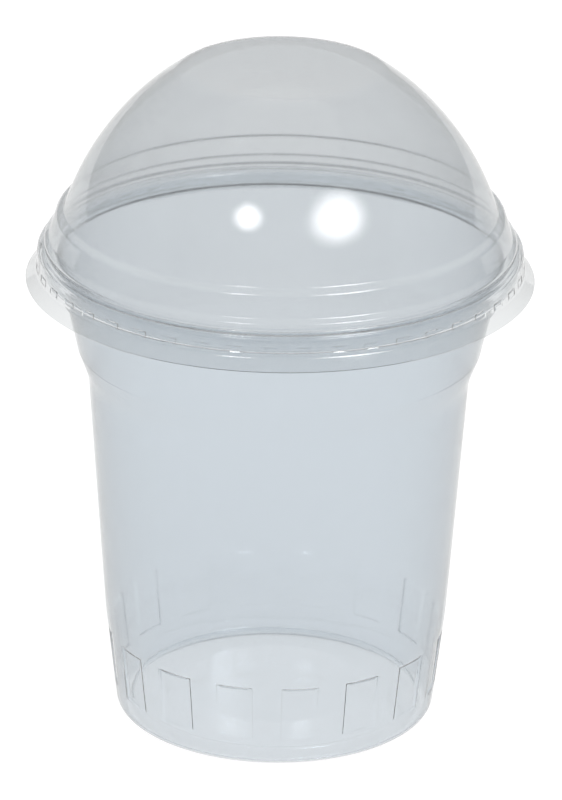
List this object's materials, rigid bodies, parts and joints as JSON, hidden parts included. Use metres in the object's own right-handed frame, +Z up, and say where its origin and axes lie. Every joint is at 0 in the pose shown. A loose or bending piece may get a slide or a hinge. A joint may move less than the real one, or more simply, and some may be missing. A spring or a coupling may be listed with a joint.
{
  "type": "clear plastic cup with dome lid",
  "caption": "Clear thin-walled drinks and dessert cup with a pushed-up base, stacking lugs and a rolled rim, closed by a clear dome lid that presses on over the rim and lifts straight off.",
  "frame": {"origin": "centre of the plane that the cup stands on", "axes": "+Z up along the cup's axis, from the base to the lid's crown"},
  "size_m": [0.1001, 0.1, 0.1349],
  "materials": {
    "cup_plastic": "clear gloss, faint blue-grey tint",
    "lid_plastic": "clear gloss, faint blue-grey tint"
  },
  "bodies": {
    "cup": {"cup": "cup_plastic"},
    "lid": {"dome_lid": "lid_plastic"}
  },
  "joints": [
    {"name": "lid_lift", "type": "slide", "parent": "cup", "child": "lid", "axis": [0, 0, 1], "range_m": [0, 0.05]}
  ]
}
